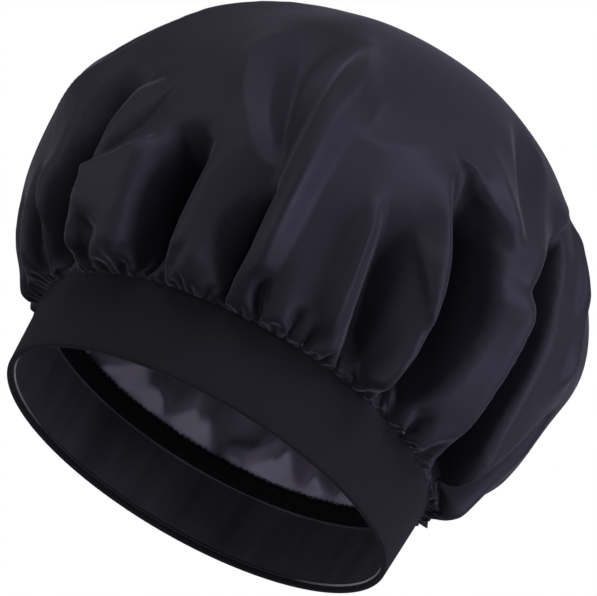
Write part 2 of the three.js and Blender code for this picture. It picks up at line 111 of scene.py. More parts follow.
# Folds: degrees round from +X and share of the way up, at three places; in millimetres the half
# width at the first and the last place, and the depth, less than zero for a ridge; and the lean,
# which narrows the fold on its side of smaller angles, or of larger ones when less than zero
FOLDS = curves(3, [
    # Left lobes and the deep crescent beside them
    (-178, 0, -177, 0.1, -178, 0.24, 6, 8, 10, 0),
    (-169, 0, -166, 0.1, -167, 0.26, 6, 7, 12, 0.2),
    (-160, 0, -152.5, 0.16, -147, 0.4, 11, 13, 38, 0),
    (-150, 0.37, -143, 0.36, -135, 0.355, 6, 4, 7, 0),
    (-178, 0.42, -156, 0.57, -126, 0.8, 10, 12, 21, 0),
    (-168, 0.34, -147, 0.49, -119, 0.73, 6, 7, -7, 0),
    (-147, 0.19, -138, 0.24, -131, 0.37, 4, 5, 6, 0.4),
    (-150, 0.1, -145, 0.22, -135, 0.34, 7, 8, -6, 0),
    # Pockets of the left front
    (-145, 0, -143, 0.08, -140, 0.13, 4, 6, 11, 0),
    (-135, 0, -134, 0.05, -134, 0.1, 3, 4, 6, 0),
    (-126, 0, -126, 0.13, -122, 0.31, 12, 14, 34, 0),
    (-119.5, 0, -117.5, 0.07, -114, 0.14, 3, 4, 7, 0),
    # The diagonal crease, the wedge above it and its edges
    (-105, 0, -106.5, 0.11, -103.5, 0.25, 8, 6, 22, -0.35),
    (-104, 0.27, -110, 0.4, -113, 0.6, 3, 22, 11, 0),
    (-103, 0.25, -117, 0.33, -124, 0.5, 5, 7, -4, 0),
    (-99, 0.06, -99.5, 0.24, -99, 0.5, 6, 8, -7, 0),
    (-94, 0, -97, 0.06, -98.5, 0.14, 4, 6, 7, 0),
    (-95, 0.33, -98, 0.45, -104, 0.64, 6, 8, -4, 0),
    (-96, 0.345, -86.5, 0.375, -77, 0.43, 8, 8, -2, 0),
    # The right front
    (-87, 0, -88, 0.05, -88, 0.1, 4, 4, 6, 0),
    (-70, 0, -75, 0.15, -82, 0.31, 11, 12, 18, 0.1),
    (-80, 0.05, -84.5, 0.19, -86, 0.33, 4, 5, -5, 0),
    (-66, 0.03, -67, 0.2, -77.5, 0.36, 5, 5, -7, 0),
    (-67, 0, -67.5, 0.03, -68, 0.07, 3, 3, 6, 0),
    (-59, 0, -59, 0.24, -76, 0.425, 10, 13, 30, 0),
    (-72, 0.52, -63, 0.43, -54, 0.367, 6, 5, -5, 0),
    (-54, 0.367, -50, 0.43, -40, 0.55, 5, 6, -5, 0),
    (-54, 0.38, -58, 0.5, -60, 0.66, 4, 14, 7, 0),
    (-30, 0.05, -43, 0.21, -51, 0.4, 8, 8, -7, 0),
    (-47, 0, -47, 0.05, -49, 0.1, 4, 5, 9, 0),
    (-36, 0, -38, 0.05, -41, 0.1, 4, 4, 7, 0),
    (-18, 0, -37, 0.24, -46, 0.53, 13, 12, 40, -0.1),
    (-18, 0.3, -25.5, 0.38, -36.5, 0.52, 6, 6, -7, 0),
    (-8, 0, -13, 0.15, -6, 0.32, 7, 8, 17, 0),
    (0, 0, -1, 0.08, 4, 0.18, 5, 6, 9, 0),
    # Round the back, with broad sinks that trim the outline
    (5, 0, 12, 0.07, 24, 0.14, 11, 12, 11, 0),
    (172, 0, 177, 0.08, 179, 0.17, 12, 12, 4, 0),
    (13, 0.05, 8, 0.12, 3, 0.19, 14, 12, 13, 0),
    (148, 0.05, 160, 0.1, 173, 0.16, 14, 14, 5, 0),
    (14, 0, 19, 0.2, 13, 0.42, 10, 12, 18, 0),
    (27, 0, 28, 0.1, 27, 0.2, 7, 6, 10, 0),
    (40, 0, 40, 0.14, 45, 0.36, 8, 9, 15, 0.2),
    (53, 0, 55, 0.11, 56, 0.24, 7, 7, 10, 0),
    (66, 0, 69, 0.2, 64, 0.5, 10, 13, 18, -0.2),
    (80, 0, 81, 0.09, 79, 0.19, 7, 6, 10, 0),
    (93, 0, 95, 0.12, 99, 0.32, 8, 9, 15, 0),
    (106, 0, 107, 0.1, 107, 0.22, 7, 6, 10, 0),
    (120, 0, 118, 0.2, 124, 0.48, 10, 13, 18, 0.2),
    (135, 0, 136, 0.11, 138, 0.25, 7, 7, 11, 0),
    (150, 0, 151, 0.2, 158, 0.42, 10, 12, 18, 0),
    (166, 0, 168, 0.1, 171, 0.2, 7, 6, 10, 0),
    (30, 0.5, 52, 0.64, 88, 0.7, 14, 14, 11, 0),
    (120, 0.56, 140, 0.66, 172, 0.62, 14, 14, 11, 0),
])
# Bulges between the folds, or hollows: degrees, share, and reach and height in millimetres
BULGES = [
    (-171, 0.4, 26, 5.5),
    (2, 0.21, 26, 4.5),
    (16, 0.085, 24, -8.5),
    (21, 0.055, 18, -18),
    (157, 0.07, 22, -9),
    (-138, 0.65, 36, -1.8),
    (-108, 0.73, 30, 1.5),
    (-9, 0.36, 20, 2),
    (-6, 0.27, 20, -3),
    (176, 0.19, 20, -2),
    (-31, 0.57, 20, -1.5),
    (-12, 0.42, 24, 3),
    (179, 0.25, 34, 3.5),
    (-144, 0.62, 34, 1.5),
    (-112, 0.71, 34, 3.5),
    (-86, 0.71, 30, 3),
    (-66, 0.71, 34, 4.5),
    (-40, 0.62, 26, 2),
    (-55, 0.68, 26, 1.5),
    (-165, 0.47, 30, 1.5),
]
# Lips, where one panel of cloth lies over the next: degrees and share at three places, how many
# millimetres the lip stands proud and how far back it fades, and 1 where the upper panel is on the
# side of larger angles, or else -1
LIPS = curves(2, [
    (-102, 0.56, -102.5, 0.29, -103.5, 0.05, 8, 19, 1),
    (-175, 0.33, -150, 0.42, -125, 0.69, 5, 16, 1),
    (-161, 0.05, -161.5, 0.15, -165.5, 0.25, 4, 10, 1),
    (-150.5, 0.04, -149, 0.13, -146, 0.2, 8, 12, 1),
    (-148.5, 0.188, -139.5, 0.212, -128, 0.28, 6, 12, 1),
    (-128, 0.02, -129.5, 0.16, -126, 0.283, 8, 12, -1),
    (-75, 0.07, -81, 0.2, -83.5, 0.29, 5, 8, -1),
    (-77, 0.29, -69, 0.22, -63.5, 0.16, 4, 10, 1),
    (-78, 0.44, -66.5, 0.403, -54, 0.365, 5, 12, 1),
    (-61, 0.19, -63, 0.12, -62, 0.05, 6, 10, -1),
    (-50, 0.34, -43, 0.24, -25, 0.08, 8, 12, -1),
    (-38.5, 0.61, -47, 0.45, -50, 0.33, 4, 12, -1),
    (-37, 0.58, -33.5, 0.48, -30, 0.39, 4, 10, 1),
])
LIP_SHARE = 0.15  # of how far back a lip fades, over which it drops in front
LIP_POWER = 1.5
FOLD_STEPS = 20
FOLD_END_SHARE = 0.3
FOLD_ROOT_SHARE = 0.12
FOLD_ROOT_POWER = 1.2
SHOULDER_SHARE = 1.2
UNDERCUT = 1.8  # how far a fold sinks sideways for its depth, for a lean of 1
PINCH_DEPTH = 0.005  # folds deeper than this are leant over by the cloth beside them
PINCH_SHARE = 0.12  # of the depth, that it leans over
CORE_LEAST = 0.0185  # folds deeper than this have a groove at the bottom
CORE_WIDTH_SHARE = 0.45
CORE_DEPTH_SHARE = 0.4
FOLD_REACH = 3.2  # half widths past which a fold has no effect
SIDE_BLEND = 0.02  # radians over which a fold changes from one side to the other
PINCH_SPREAD = 1.6

# Puckers along the band: seed, count, width, height and how far up they are highest
PUCKERS = (5, 58, 0.0034, 0.0045, 0.03)
FINE_PUCKERS = (9, 120, 0.0016, 0.0022, 0.012)
PUCKER_LEAN = 0.9

# Cloth, as it is cut, gridded and settled
CUT_RADIUS = 0.28  # of the crown's flat disc of cloth
BUNCHED = 0.45
GATHER_RATIO = 1.9  # of loose to drawn-in cloth that the visible puckers hold
CLOTH_GRID = (320, 90)
CROWN_GRID = ((960, 260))
ROUNDS = 120
MOMENTUM = 0.85
LINK_STIFFNESS = 0.9
UP_SLACK = 1.02
ROUND_SLACK = 1.05
CROWD = 0.6  # how strongly gathered cloth resists at the band
CROWD_ABOVE = 0.35  # and above it, as a share of that
HOLD = 0.06
VALLEY_HOLD = 0.25
BAND_SLIP = 0.8  # how much less the cloth is held at the band
BAND_MARGIN = 1.006  # how far outside the band's oval the cloth stays
LINK_ROUNDS = 2
PRESSURE = 0.00004
STIFFNESS = 0.25

# Panels: how far in the coarse grid directions are evened out, and how large a change of
# direction is kept as a crease
PANEL_REACH = 3
PANEL_SPREAD = 1.8
PANEL_EDGE = 0.13
PANEL_ROUNDS = 10
PANEL_FITS = 14

# Lining
LINING_SLACK = 0.004
LINING_DEEP_SLACK = 0.008  # more of it under the deep folds
LINING_DEEP_WIDTH = 1.5  # of those folds' half widths
LINING_SEEN = (math.radians(88), 0.75)  # middle and reach of the part that shows in the opening
LOOSE_FOLDS = dict(seed=31, count=50, low=0.04, high=0.3, length=0.3, width=0.009, depth=0.006)

# Band, strip and stitches
BAND_COUNT = 480
SEAM_COUNT = 960
FACING_PUCKER = 0.00006
ELASTIC_RIBS = 24
ELASTIC_RIB = 0.00008
THREAD_SIDES = 8

# Camera at the photograph's viewing angle, from below the rim's level
CAMERA_AIM = Vector((0.0004, -0.0674, 0.0665))  # from the middle of the rim
CAMERA_DISTANCE = 1.1
CAMERA_AZIMUTH = math.radians(-0.78)
CAMERA_ELEVATION = math.radians(-30.44)
CAMERA_ROLL = math.radians(29.96)
SENSOR = 36.0
FRAME_WIDTH_PX = 597
FOCAL_PX = 2498.4


def placed(name, data):
    made = bpy.data.objects.new(name, data)
    bpy.context.scene.collection.objects.link(made)
    return made


def make_camera():
    data = bpy.data.cameras.new("camera")
    data.sensor_fit = "HORIZONTAL"
    data.sensor_width = SENSOR
    data.lens = FOCAL_PX * SENSOR / FRAME_WIDTH_PX
    camera = placed("camera", data)
    right, up, back = picture_axes()
    rim_middle = Vector((MIDDLE[0], MIDDLE[1], 0))
    place = rim_middle + CAMERA_AIM + back * CAMERA_DISTANCE
    turn = Matrix((right, up, back)).transposed().to_4x4()
    camera.matrix_world = Matrix.Translation(place) @ turn
    bpy.context.scene.camera = camera


# Shapes

def smoothstep(x, low, high):
    t = np.clip((x - low) / (high - low), 0, 1)
    return t * t * (3 - 2 * t)


def mixed(a, b, share):
    return a + (b - a) * share


def unit(vectors):
    return vectors / np.maximum(np.linalg.norm(vectors, axis=-1, keepdims=True), TINY)


def dot(a, b):
    return np.sum(a * b, axis=-1, keepdims=True)


def turns(count):
    return TURN * np.arange(count) / count


def apart(angle, other):
    """The difference between two angles, the short way round."""
    return np.angle(np.exp(1j * (angle - other)))


def flat_places(across, along):
    return np.stack(np.broadcast_arrays(across, along), -1)


def oval_sizes(height):
    lean = BAND_FLARE * height / BAND_HEIGHT
    return RIM_HALF_LENGTH + lean, RIM_HALF_WIDTH + lean


def oval_normal(angle, height):
    half_length, half_width = oval_sizes(height)
    x, y = half_width * np.cos(angle), half_length * np.sin(angle)
    size = np.hypot(x, y)
    return np.stack([x / size, y / size, np.zeros_like(x)], -1)


def oval_point(angle, inset, height):
    """A point of the band's oval at a height, moved in by inset, square to the oval."""
    angle, inset, height = np.broadcast_arrays(angle, inset, height)
    half_length, half_width = oval_sizes(height)
    point = np.stack([half_length * np.cos(angle), half_width * np.sin(angle), height], -1)
    point = point - oval_normal(angle, height) * inset[..., None]
    return point + np.array([MIDDLE[0], MIDDLE[1], 0])


def crown_form(angle, share):
    """The crown without folds; share runs from 0 at the gather line to 1 at the top."""
    angle, share = np.broadcast_arrays(np.asarray(angle, float), np.asarray(share, float))
    half_length, half_width = oval_sizes(BAND_HEIGHT)
    rightness = (1 + np.cos(angle)) / 2
    power = mixed(LOWER_POWER_LEFT, LOWER_POWER_RIGHT, rightness)
    low = share < WIDEST_PATH_SHARE
    below = np.clip(share / WIDEST_PATH_SHARE, 0, 1) * math.pi / 2
    above = np.clip((share - WIDEST_PATH_SHARE) / (1 - WIDEST_PATH_SHARE), 0, 1) * math.pi / 2
    out = np.sin(below) ** power
    rise = 1 - np.clip(np.cos(below), 0, 1) ** power
    inward = np.clip(np.cos(above), 0, 1) ** UPPER_POWER
    climb = np.sin(above) ** UPPER_POWER
    length = np.where(low, mixed(half_length, CROWN_HALF_LENGTH, out), CROWN_HALF_LENGTH * inward)
    width = np.where(low, mixed(half_width, CROWN_HALF_WIDTH, out), CROWN_HALF_WIDTH * inward)
    shift_x = np.where(low, WIDEST_SHIFT_X * out, mixed(WIDEST_SHIFT_X, TOP_SHIFT_X, climb))
    shift_y = np.where(low, WIDEST_SHIFT_Y * out, WIDEST_SHIFT_Y * (1 - climb))
    z = np.where(low, mixed(GATHER_LINE, WIDEST_HEIGHT, rise),
                 mixed(WIDEST_HEIGHT, CROWN_HEIGHT, climb))
    x = length * np.cos(angle) + shift_x + MIDDLE[0]
    y = width * np.sin(angle) + shift_y + MIDDLE[1]
    return np.stack([x, y, z], -1)


def crown_normal(angle, share):
    """The way out of that form, level at the band."""
    step = 0.004
    round_it = crown_form(angle + step, share) - crown_form(angle - step, share)
    above, below = np.minimum(share + step, 1), np.maximum(share - step, 0)
    square = np.cross(round_it, crown_form(angle, above) - crown_form(angle, below))
    size = np.linalg.norm(square, axis=-1, keepdims=True)
    square = np.where(size > TINY, square / np.maximum(size, TINY), np.array([0, 0, 1.0]))
    turned = smoothstep(share, 0, 0.08)[..., None]
    return unit(mixed(oval_normal(angle, BAND_HEIGHT), square, turned))


def fold_run(places):
    """Degrees and share along a fold, a curve through its three places."""
    t = np.linspace(0, 1, FOLD_STEPS + 1)
    weights = np.stack([(1 - t) * (1 - 2 * t), 4 * t * (1 - t), t * (2 * t - 1)], -1)
    return weights @ np.array(places, float)


def fold_line(places):
    run = fold_run(places)
    return crown_form(np.radians(run[:, 0]), run[:, 1])


def fold_side(angle, places, place):
    """How far round from the fold's line each point is, in radians."""
    degrees = np.interp(place, np.linspace(0, 1, FOLD_STEPS + 1), fold_run(places)[:, 0])
    return apart(angle, np.radians(degrees))


def fold_field(points, angle, places, first_width, last_width, lean=0.0):
    """For each point near the fold: distance across it in half widths, the way out from its
    line, and the place along it."""
    line = fold_line(places)
    reach = FOLD_REACH * max(first_width, last_width)
    near = np.all((points > line.min(0) - reach) & (points < line.max(0) + reach), axis=-1)
    chosen = points[near]
    best = np.full(len(chosen), np.inf)
    place = np.zeros(len(chosen))
    away = np.zeros_like(chosen)
    for i in range(FOLD_STEPS):
        a, b = line[i], line[i + 1]
        t = np.clip((chosen - a) @ (b - a) / max(np.dot(b - a, b - a), TINY), 0, 1)
        offset = chosen - a - t[:, None] * (b - a)
        distance = np.linalg.norm(offset, axis=1)
        closer = distance < best
        best = np.where(closer, distance, best)
        place = np.where(closer, (i + t) / FOLD_STEPS, place)
        away = np.where(closer[:, None], offset, away)
    side = np.clip(fold_side(angle[near], places, place) / SIDE_BLEND, -1, 1)
    across = best / (mixed(first_width, last_width, place) * (1 + lean * side))
    return near, across, away / np.maximum(best, 1e-6)[:, None], place


def fold_way(normal, places, place, lean):
    """The way a fold sinks: into the crown, and under the cloth on its narrower side."""
    line = fold_line(places)
    step = np.minimum((place * FOLD_STEPS).astype(int), FOLD_STEPS - 1)
    along = unit(line[step + 1] - line[step])
    return -normal + np.cross(normal, along) * (lean * UNDERCUT)


def fold_ends(place, rooted):
    start = 1 if rooted else smoothstep(place, 0, FOLD_END_SHARE)
    return start * smoothstep(1 - place, 0, FOLD_END_SHARE)


def fold_shift(points, normal, angle, share):
    """How far the folds move the crown: valleys sink, and the cloth beside them bulges and leans
    over them. Also how much of a valley each point is."""
    shift = np.zeros_like(points)
    for degrees, height_share, reach, height in BULGES:
        middle = crown_form(math.radians(degrees), height_share)
        away = np.linalg.norm(points - middle, axis=1) / (reach / 1000)
        shift += normal * (height / 1000 * np.exp(-away ** 2))[:, None]
    valley = np.zeros(len(points))
    for places, first_width, last_width, depth, lean in FOLDS:
        near, across, away, place = fold_field(points, angle, places, first_width, last_width, lean)
        across = across ** 2
        amount = depth * fold_ends(place, places[0][1] == 0)
        rise = amount * (1 - SHOULDER_SHARE * across) * np.exp(-across)
        shift[near] += fold_way(normal[near], places, place, lean) * rise[:, None]
        if depth > PINCH_DEPTH:
            over = PINCH_SHARE * amount * across * np.exp(1 - across / PINCH_SPREAD) / PINCH_SPREAD
            shift[near] -= away * over[:, None]
            valley[near] = np.maximum(valley[near], amount / depth * np.exp(-2 * across))
    root = smoothstep(share, 0, FOLD_ROOT_SHARE) ** FOLD_ROOT_POWER
    return shift * root[:, None], valley * root


def deep_folds(points, angle, width_share, leant=True):
    """Each deep fold's places, depth and lean, the points near it, how much of it they are for
    such a share of its width, and the place along it."""
    for places, first_width, last_width, depth, lean in FOLDS:
        if depth > CORE_LEAST:
            near, across, _, place = fold_field(
                points, angle, places, first_width * width_share, last_width * width_share,
                lean if leant else 0.0)
            groove = fold_ends(place, places[0][1] == 0) * np.exp(-across ** 2)
            yield places, depth, lean, near, groove, place


def core_shift(points, normal, angle, share):
    """How far the bottoms of the deep valleys sink further, in narrow grooves."""
    shift = np.zeros_like(points)
    for places, depth, lean, near, groove, place in deep_folds(points, angle, CORE_WIDTH_SHARE):
        amount = CORE_DEPTH_SHARE * depth * groove
        shift[near] += fold_way(normal[near], places, place, lean) * amount[:, None]
    root = smoothstep(share, 0, FOLD_ROOT_SHARE / 2)
    return shift * root[:, None]


def lip_shift(points, normal, angle):
    """How far the lips stand proud: high at the edge, fading back, with a short drop in front."""
    shift = np.zeros_like(points)
    for places, height, back, side in LIPS:
        near, across, _, place = fold_field(points, angle, places, back, back)
        over = fold_side(angle[near], places, place) * side
        across = np.where(over > 0, across, across / LIP_SHARE)
        rise = height * fold_ends(place, False) * np.exp(-across ** LIP_POWER)
        shift[near] += normal[near] * rise[:, None]
    return shift


def pucker_sink(angle, share, seed, count, width, height, reach):
    """Small loops of cloth that stand out where the gathers leave the band."""
    random = np.random.default_rng(seed)
    sink = np.zeros(len(angle))
    for i in range(count):
        middle = TURN * (i + random.uniform(-0.35, 0.35)) / count
        lean = random.uniform(-1, 1) * PUCKER_LEAN
        half = width * random.uniform(0.6, 1.4) / RIM_RADIUS
        peak = reach * random.uniform(0.5, 1.5)
        away = apart(angle, middle + lean * share)
        way = share / peak
        swell = way * np.exp(1 - way)
        sink -= height * random.uniform(0.5, 1.3) * swell * np.exp(-(away / half) ** 2)
    return sink


def random_folds(points, angle, seed, count, low, high, length, width, depth):
    """Loose folds scattered between two levels, mostly running up the crown."""
    random = np.random.default_rng(seed)
    sink = np.zeros(len(points))
    for _ in range(count):
        start = random.uniform(-180, 180)
        foot = random.uniform(low, high)
        head = foot + length * random.uniform(0.6, 1.4)
        drift = random.uniform(-9, 9)
        bow = random.uniform(-4, 4)
        places = (start, foot), (start + drift / 2 + bow, (foot + head) / 2), (start + drift, head)
        first_width, last_width = (width * random.uniform(0.7, 1.4) for _ in range(2))
        near, across, _, place = fold_field(
            points, angle, places, first_width, last_width, random.uniform(-0.5, 0.5))
        amount = depth * random.uniform(-1, 1) * fold_ends(place, False)
        sink[near] += amount * np.exp(-across ** 2)
    return sink


def ring_share(t):
    """Share of the way up at a row's place from 0 to 1; rows are closer near the band."""
    return t * (1 - BUNCHED) + BUNCHED * t ** 2


def grid_places(columns, rows):
    share = ring_share(np.arange(rows) / (rows - 1))
    return np.broadcast_arrays(turns(columns)[None, :], share[:, None])


def grid_object(name, points, uv, closed_rows=False, pointed=False):
    """A mesh of rows of points, each row a closed loop; pointed, its last row is one point."""
    if pointed:
        pole, uv_pole = points[-1].mean(0), uv[-1].mean(0)
        points, uv = points[:-1], uv[:-1]
    rings, count, _ = points.shape
    vertices = points.reshape(-1, 3)
    index = np.arange(rings * count).reshape(rings, count)
    after = np.roll(index, -1, axis=1)
    if closed_rows:
        upper, upper_after = np.roll(index, -1, axis=0), np.roll(after, -1, axis=0)
        quads = np.stack([index, after, upper_after, upper], -1).reshape(-1, 4)
    else:
        quads = np.stack([index[:-1], after[:-1], after[1:], index[1:]], -1).reshape(-1, 4)
    faces = quads.tolist()
    coordinates = uv.reshape(-1, 2)
    if pointed:
        vertices = np.vstack([vertices, pole])
        coordinates = np.vstack([coordinates, uv_pole])
        tip = rings * count
        faces += [[int(a), int(b), tip] for a, b in zip(index[-1], after[-1])]
    mesh = bpy.data.meshes.new(name)
    mesh.from_pydata(vertices.tolist(), [], faces)
    mesh.polygons.foreach_set("use_smooth", [True] * len(mesh.polygons))
    layer = mesh.uv_layers.new(name="cut")
    corners = np.empty(len(mesh.loops), dtype=np.int64)
    mesh.loops.foreach_get("vertex_index", corners)
    layer.data.foreach_set("uv", coordinates[corners].ravel())
    mesh.update()
    return placed(name, mesh)


def dress(made, material, node):
    made.data.materials.append(material)
    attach(made, ROOT)
    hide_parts(node)


def link_batches(columns, rows, rest_round, rest_up, resist):
    """Pairs of neighbouring vertices, their distance in the flat cloth and how strongly they
    resist coming closer, in batches that touch each vertex only once."""
    index = np.arange(rows * columns).reshape(rows, columns)
    diagonal = np.hypot(rest_round[1:] * 0.5 + rest_round[:-1] * 0.5, rest_up)
    batches = []

    def add(a, b, rest, crowd):
        rest = rest.ravel().astype(np.float32)
        crowd = np.ascontiguousarray(crowd).ravel().astype(np.float32)
        batches.append((a.ravel(), b.ravel(), rest, crowd))

    for odd in (0, 1):
        after = np.roll(index, -1, 1)
        add(index[:, odd::2], after[:, odd::2], rest_round[:, odd::2], resist[:, odd::2])
        low, high = index[odd:-1:2], index[odd + 1::2]
        crowd = resist[:-1][odd::2]
        add(low, high, rest_up[odd::2], crowd)
        add(low, np.roll(high, -1, 1), diagonal[odd::2], crowd * 0.5)
        add(low, np.roll(high, 1, 1), diagonal[odd::2], crowd * 0.5)
    return batches


def pull_together(points, batches, stiffness):
    for a, b, rest, resist in batches:
        gap = points[b] - points[a]
        length = np.sqrt(np.einsum("ij,ij->i", gap, gap))
        excess = 1 - rest / np.maximum(length, 1e-9)
        excess = np.where(excess < 0, excess * resist, excess)
        shift = gap * (0.5 * stiffness * excess)[:, None]
        points[a] += shift
        points[b] -= shift


def blur(field, round_steps, up_steps):
    """Box blur of a (ring, column, xyz) field, round in columns and held at the ends in rings."""
    k = round_steps
    wide = np.concatenate([field[:, -k:], field, field[:, :k]], 1).cumsum(1)
    wide = np.concatenate([np.zeros_like(wide[:, :1]), wide], 1)
    field = (wide[:, 2 * k + 1:] - wide[:, :-2 * k - 1]) / (2 * k + 1)
    k = up_steps
    tall = np.concatenate([np.repeat(field[:1], k, 0), field, np.repeat(field[-1:], k, 0)]).cumsum(0)
    tall = np.concatenate([np.zeros_like(tall[:1]), tall])
    return (tall[2 * k + 1:] - tall[:-2 * k - 1]) / (2 * k + 1)


def keep_outside(points):
    """Holds the cloth outside the band and the seam."""
    half_length, half_width = oval_sizes(BAND_HEIGHT)
    x, y = points[..., 0] - MIDDLE[0], points[..., 1] - MIDDLE[1]
    margin = np.where(points[..., 2] < GATHER_LINE, BAND_MARGIN, 1.0)
    way = np.hypot(x / half_length, y / half_width) / margin
    low = points[..., 2] < GATHER_LINE + 0.01
    grow = np.where(low & (way < 1), 1 / np.maximum(way, 0.5), 1)
    points[..., 0] = MIDDLE[0] + x * grow
    points[..., 1] = MIDDLE[1] + y * grow
    points[..., 2] = np.maximum(points[..., 2], GATHER_LINE - 0.002)


def grid_normals(points):
    """Direction out of a grid of points, row by row."""
    round_it = np.roll(points, -1, 1) - np.roll(points, 1, 1)
    up = np.gradient(points, axis=0)
    return unit(np.cross(round_it, up))


def settle_crown():
    """Lets the gathered cloth settle, blown up from inside and held along its main folds."""
    columns, rows = CLOTH_GRID
    angle, share = grid_places(columns, rows)
    flat_angle, flat_share = angle.ravel(), share.ravel()
    form = crown_form(flat_angle, flat_share)
    normal = crown_normal(flat_angle, flat_share)
    shift, valley = fold_shift(form, normal, flat_angle, flat_share)
    pucker = pucker_sink(flat_angle, flat_share, *PUCKERS)
    target = form + shift - normal * pucker[:, None]
    form, target = (field.reshape(rows, columns, 3) for field in (form, target))
    valley = valley.reshape(rows, columns)
    rest_up = np.linalg.norm(np.diff(form, axis=0), axis=2) * UP_SLACK
    drawn = np.linalg.norm(np.roll(form, -1, 1) - form, axis=2)
    placed = np.linalg.norm(np.roll(target, -1, 1) - target, axis=2)
    loose = TURN * CUT_RADIUS * (1 - share) / columns
    free = 1 - smoothstep(share, 0.02, 0.12)
    most = free * drawn * GATHER_RATIO + (1 - free) * placed * ROUND_SLACK
    rest_round = np.clip(loose, drawn * 0.98, np.maximum(most, drawn))
    resist = CROWD * mixed(CROWD_ABOVE, 1, free)
    batches = link_batches(columns, rows, rest_round, rest_up, resist)
    points = target.astype(np.float32)
    target = points.copy()
    foot, tip = form[0].astype(np.float32), form[-1].astype(np.float32)
    hold = (1 - BAND_SLIP * free) * (HOLD + VALLEY_HOLD * valley)
    hold = hold.astype(np.float32)[..., None]
    before = points.copy()
    for _ in range(ROUNDS):
        points, before = points + (points - before) * MOMENTUM, points
        points += PRESSURE * grid_normals(points).astype(np.float32)
        points += hold * (target - points)
        lift = points - target
        points += STIFFNESS * (blur(lift, 1, 1) - lift)
        flat = points.reshape(-1, 3)
        for _ in range(LINK_ROUNDS):
            pull_together(flat, batches, LINK_STIFFNESS)
        keep_outside(points)
        points[0], points[-1] = foot, tip
    return points.astype(float)


def spline_weights(t):
    return np.stack([(1 - t) ** 3, 3 * t ** 3 - 6 * t ** 2 + 4,
                     1 + 3 * t + 3 * t ** 2 - 3 * t ** 3, t ** 3]) / 6


def draw_out(field, columns, rows):
    """Smooth cubic curves through a coarse grid, as a finer one."""
    last = len(field) - 1
    ends = np.concatenate([2 * field[:1] - field[1:2], field, 2 * field[-1:] - field[-2:-1]])
    at = np.linspace(0, last, rows)
    cell = np.minimum(at.astype(int), last - 1)
    weights = spline_weights(at - cell)
    tall = sum(weights[k][:, None, None] * ends[cell + k] for k in range(4))
    count = field.shape[1]
    at = np.arange(columns) * count / columns
    cell = at.astype(int)
    weights = spline_weights(at - cell)
    return sum(weights[k][None, :, None] * tall[:, (cell + k - 1) % count] for k in range(4))


def around(field, up, aside):
    """The same grid, each place holding its neighbour so many rows up and columns aside."""
    rows = np.clip(np.arange(len(field)) + up, 0, len(field) - 1)
    return np.roll(field[rows], -aside, 1)


def flatten_panels(points):
    """Draws the cloth into flatter panels that meet in creases."""
    before = points
    points = points.copy()
    after = np.roll(points, -1, 1)
    facing = unit(np.cross(after[1:] - points[:-1], points[1:] - after[:-1]))
    reach = range(-PANEL_REACH, PANEL_REACH + 1)
    for _ in range(PANEL_ROUNDS):
        total = np.zeros_like(facing)
        for up in reach:
            for aside in reach:
                other = around(facing, up, aside)
                unlike = dot(other - facing, other - facing)
                near = math.exp(-(up ** 2 + aside ** 2) / (2 * PANEL_SPREAD ** 2))
                total += near * np.exp(-unlike / (2 * PANEL_EDGE ** 2)) * other
        facing = unit(total)
    for _ in range(PANEL_FITS):
        after = np.roll(points, -1, 1)
        middle = (points[:-1] + after[:-1] + points[1:] + after[1:]) / 4
        move = np.zeros_like(points[1:-1])
        for rows in (slice(0, -1), slice(1, None)):
            for aside in (0, 1):
                face, centre = np.roll(facing[rows], aside, 1), np.roll(middle[rows], aside, 1)
                move += face * dot(face, centre - points[1:-1]) / 4
        points[1:-1] += move
    return mixed(before, points, smoothstep(grid_places(*CLOTH_GRID)[1], 0.04, 0.16)[..., None])


def keep_off_seam(points, gap):
    """Holds cloth outside the seam's raw edges."""
    rise = np.maximum(points[..., 2] - GATHER_LINE, 0) / SEAM_HEIGHT
    inset = SEAM_INSET + SEAM_LEAN * np.minimum(rise, 1) - gap
    half_length, half_width = oval_sizes(BAND_HEIGHT)
    way = np.hypot((points[..., 0] - MIDDLE[0]) / (half_length - inset),
                   (points[..., 1] - MIDDLE[1]) / (half_width - inset))
    grow = np.where(way < 1, 1 / np.maximum(way, 0.5) - 1, 0) * (1 - smoothstep(rise, 1.05, 1.6))
    held = points.copy()
    held[..., :2] += (points[..., :2] - MIDDLE[:2]) * grow[..., None]
    return held


def crown_points(cloth):
    """The outside of the crown, its form without folds and that form's way out."""
    columns, rows = CROWN_GRID
    angle, share = (field.ravel() for field in grid_places(columns, rows))
    form = crown_form(angle, share)
    normal = crown_normal(angle, share)
    points = draw_out(cloth, columns, rows)
    shift = lip_shift(form, normal, angle) + core_shift(form, normal, angle, share)
    shift -= normal * pucker_sink(angle, share, *FINE_PUCKERS)[:, None]
    points = keep_off_seam(points + shift.reshape(points.shape), SEAM_INSET)
    return points, form.reshape(points.shape), normal.reshape(points.shape)


def cut_places():
    """Where each point of the crown's grid lies in the flat disc of cloth."""
    angle, share = grid_places(*CROWN_GRID)
    radius = CUT_RADIUS * (1 - share)
    return np.stack([radius * np.cos(angle), radius * np.sin(angle)], -1)


def gathered_disc(made, thickness):
    """Gives a round panel its thickness, inwards."""
    thick = made.modifiers.new("thickness", "SOLIDIFY")
    thick.thickness = thickness
    thick.offset = -1


def outer_crown(points, material):
    angle = turns(CROWN_GRID[0])
    tuck = oval_point(angle, SEAM_TUCK, GATHER_LINE)
    turned_in = np.stack([np.cos(angle), np.sin(angle)], -1) * (CUT_RADIUS + SEAM_TUCK)
    points = np.concatenate([tuck[None], points])
    uv = np.concatenate([turned_in[None], cut_places()])
    made = grid_object("outer_crown_cloth", points, uv, pointed=True)
    dress(made, material, "outer_crown")
    gathered_disc(made, CROWN_FABRIC)


